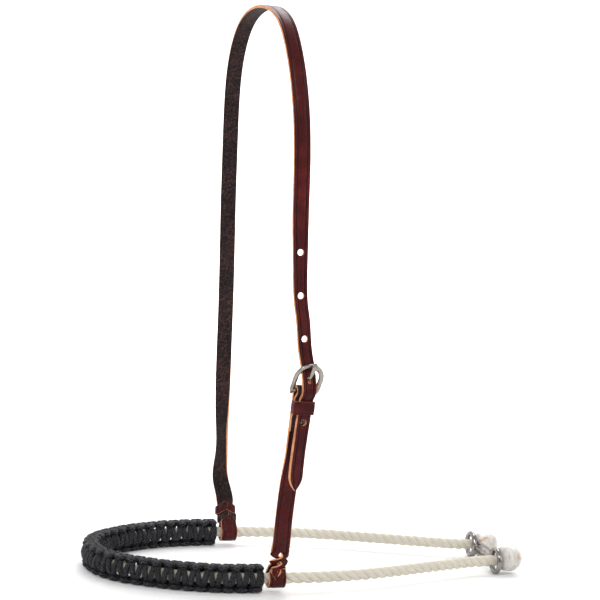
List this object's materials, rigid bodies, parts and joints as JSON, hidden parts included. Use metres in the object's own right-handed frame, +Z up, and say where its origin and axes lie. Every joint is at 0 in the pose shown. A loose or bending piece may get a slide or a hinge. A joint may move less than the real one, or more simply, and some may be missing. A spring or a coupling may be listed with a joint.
{
  "type": "bitless hackamore",
  "caption": "Bitless hackamore: cream lariat-rope noseband with a braided black nose cover, cast jaw connector and burgundy leather headstall with a horseshoe buckle.",
  "frame": {"origin": "bottom centre of the whole object's box, on the surface under the noseband", "axes": "+Z up from the noseband to the poll, -X towards the horse's nose, +X towards the jaw connector, -Y the near (left) side with the buckle, +Y the far side"},
  "size_m": [0.421, 0.281, 0.5227],
  "materials": {
    "lariat_rope": "hard-laid three-strand polyester rope, cream, slightly waxed",
    "paracord": "woven nylon paracord, black",
    "burgundy_leather": "oiled burgundy harness leather, soft sheen, raw tan cut edges",
    "sealed_knot": "rope end whipped and heat-sealed, cream with amber scorch marks",
    "cast_nickel": "cast nickel-plated, softly polished",
    "buckle_nickel": "polished nickel-plated steel"
  },
  "bodies": {
    "noseband": {"noseband_rope": "lariat_rope", "cover_cord_outer": "paracord", "cover_cord_inner": "paracord", "end_knot_near": "sealed_knot", "end_knot_far": "sealed_knot"},
    "connector": {"jaw_connector": "cast_nickel"},
    "headstall": {"crown_strap": "burgundy_leather", "buckle_strap": "burgundy_leather", "screw_post": "buckle_nickel", "screw_cap": "buckle_nickel"},
    "buckle": {"buckle_frame": "buckle_nickel"},
    "tongue": {"buckle_tongue": "buckle_nickel"},
    "keeper": {"keeper_loop": "burgundy_leather"}
  },
  "joints": [
    {"name": "connector_rock", "type": "hinge", "parent": "noseband", "child": "connector", "pos_m": [0.18421, 0.00651, 0.0129], "axis": [0, 1, 0], "range_deg": [-8, 8]},
    {"name": "headstall_slide", "type": "slide", "parent": "noseband", "child": "headstall", "axis": [1, 0, 0], "range_m": [-0.003, 0.006]},
    {"name": "buckle_tilt", "type": "hinge", "parent": "headstall", "child": "buckle", "pos_m": [-0.04999, -0.12764, 0.19066], "axis": [0.9815, 0.1446, -0.1252], "range_deg": [0, 3]},
    {"name": "tongue_tilt", "type": "hinge", "parent": "buckle", "child": "tongue", "pos_m": [-0.04999, -0.12764, 0.19066], "axis": [0.9815, 0.1446, -0.1252], "range_deg": [0, 4]},
    {"name": "keeper_slide", "type": "slide", "parent": "headstall", "child": "keeper", "axis": [0.0453, -0.0464, 0.9979], "range_m": [-0.0012, 0.0005]}
  ]
}
